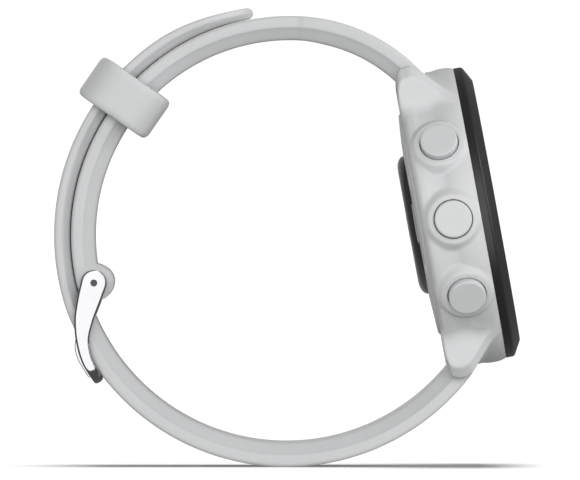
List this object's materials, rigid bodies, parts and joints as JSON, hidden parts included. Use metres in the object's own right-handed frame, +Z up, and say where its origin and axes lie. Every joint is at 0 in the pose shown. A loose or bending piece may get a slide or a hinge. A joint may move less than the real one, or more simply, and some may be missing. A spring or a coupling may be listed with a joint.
{
  "type": "gps running watch",
  "caption": "Round wrist watch with a sensor back and side buttons, on a silicone band closed by a pin buckle and a sliding keeper.",
  "frame": {"origin": "centre of the wrist loop, on the watch's middle plane", "axes": "+X towards the watch head, +Z up on the 12 o'clock side, +Y from 9 o'clock to 3 o'clock, along the wrist"},
  "size_m": [0.0659, 0.0435, 0.0649],
  "materials": {
    "case_polymer": "fine matte",
    "button_polymer": "satin",
    "silicone": "soft matte",
    "bezel_black": "satin",
    "lens_glass": "gloss",
    "window_black": "gloss",
    "polished_steel": "polished",
    "bright_metal": "satin",
    "gold": "plated",
    "seal_rubber": "matte",
    "display": "gloss",
    "clear_guide": "gloss",
    "circuit_board": "satin",
    "chip_black": "matte",
    "battery_foil": "satin",
    "flex_amber": "gloss"
  },
  "bodies": {
    "head": {"case_body": "case_polymer", "bezel": "bezel_black", "lens": "lens_glass", "lens_gasket": "seal_rubber", "front_seal": "seal_rubber", "display_panel": "display", "backlight_guide": "clear_guide", "inner_chassis": "bright_metal", "main_board": "circuit_board", "board_chips": "chip_black", "shield_can": "bright_metal", "board_screws": "bright_metal", "battery": "battery_foil", "vibration_motor": "bright_metal", "buzzer": "chip_black", "gnss_antenna": "gold", "display_flex": "flex_amber", "sensor_flex": "flex_amber", "rear_cover": "case_polymer", "rear_seal": "seal_rubber", "rear_screws": "bright_metal", "screw_inserts": "gold", "sensor_window": "window_black", "sensor_board": "circuit_board", "sensor_leds": "clear_guide", "sensor_photodiodes": "chip_black", "light_baffle": "chip_black", "charging_insulator": "chip_black", "charging_pins": "gold", "button_bushes": "bright_metal", "button_seals": "seal_rubber", "side_switches": "clear_guide", "switch_domes": "bright_metal", "lower_strap": "silicone", "lower_bar_tube": "bright_metal", "lower_bar_end": "bright_metal", "lower_bar_spring": "bright_metal"},
    "light_button": {"light_button": "button_polymer", "light_clip": "bright_metal"},
    "up_button": {"up_button": "button_polymer", "up_clip": "bright_metal"},
    "down_button": {"down_button": "button_polymer", "down_clip": "bright_metal"},
    "start_button": {"start_button": "button_polymer", "start_clip": "bright_metal"},
    "back_button": {"back_button": "button_polymer", "back_clip": "bright_metal"},
    "upper_band": {"upper_strap": "silicone", "upper_bar_tube": "bright_metal", "upper_bar_end": "bright_metal", "upper_bar_spring": "bright_metal", "buckle_bar_tube": "bright_metal", "buckle_bar_pins": "bright_metal", "buckle_bar_spring": "bright_metal"},
    "upper_release": {"upper_release_pin": "bright_metal"},
    "lower_release": {"lower_release_pin": "bright_metal"},
    "buckle": {"buckle_frame": "polished_steel"},
    "tongue": {"buckle_tongue": "polished_steel"},
    "keeper": {"keeper": "silicone"}
  },
  "joints": [
    {"name": "light_press", "type": "slide", "parent": "head", "child": "light_button", "axis": [0.0916, 0.8616, -0.4992], "range_m": [0, 0.00035], "stiffness_N_per_m": 4000, "springref_m": -0.0002},
    {"name": "up_press", "type": "slide", "parent": "head", "child": "up_button", "axis": [0, 1, 0], "range_m": [0, 0.00035], "stiffness_N_per_m": 4000, "springref_m": -0.0002},
    {"name": "down_press", "type": "slide", "parent": "head", "child": "down_button", "axis": [-0.0916, 0.8616, 0.4992], "range_m": [0, 0.00035], "stiffness_N_per_m": 4000, "springref_m": -0.0002},
    {"name": "start_press", "type": "slide", "parent": "head", "child": "start_button", "axis": [0.0916, -0.8616, -0.4992], "range_m": [0, 0.00035], "stiffness_N_per_m": 4000, "springref_m": -0.0002},
    {"name": "back_press", "type": "slide", "parent": "head", "child": "back_button", "axis": [-0.0916, -0.8616, 0.4992], "range_m": [0, 0.00035], "stiffness_N_per_m": 4000, "springref_m": -0.0002},
    {"name": "band_flex", "type": "hinge", "parent": "head", "child": "upper_band", "pos_m": [0.01764, 0, 0.0219], "axis": [0, 1, 0], "range_deg": [-4, 4], "stiffness_Nm_per_rad": 1.5, "deforming": ["lower_strap"]},
    {"name": "upper_release_slide", "type": "slide", "parent": "upper_band", "child": "upper_release", "axis": [0, 1, 0], "range_m": [0, 0.0015], "stiffness_N_per_m": 400, "springref_m": -0.002, "deforming": ["upper_bar_spring"]},
    {"name": "lower_release_slide", "type": "slide", "parent": "head", "child": "lower_release", "axis": [0, 1, 0], "range_m": [0, 0.0015], "stiffness_N_per_m": 400, "springref_m": -0.002, "deforming": ["lower_bar_spring"]},
    {"name": "buckle_hinge", "type": "hinge", "parent": "upper_band", "child": "buckle", "pos_m": [-0.02722, 0, -0.00677], "axis": [0, 1, 0], "range_deg": [0, 3]},
    {"name": "tongue_hinge", "type": "hinge", "parent": "buckle", "child": "tongue", "pos_m": [-0.02722, 0, -0.00677], "axis": [0, 1, 0], "range_deg": [0, 4]},
    {"name": "keeper_slide", "type": "hinge", "parent": "upper_band", "child": "keeper", "pos_m": [0.00055, 0, 0], "axis": [0, 1, 0], "range_deg": [-30, 24]}
  ]
}
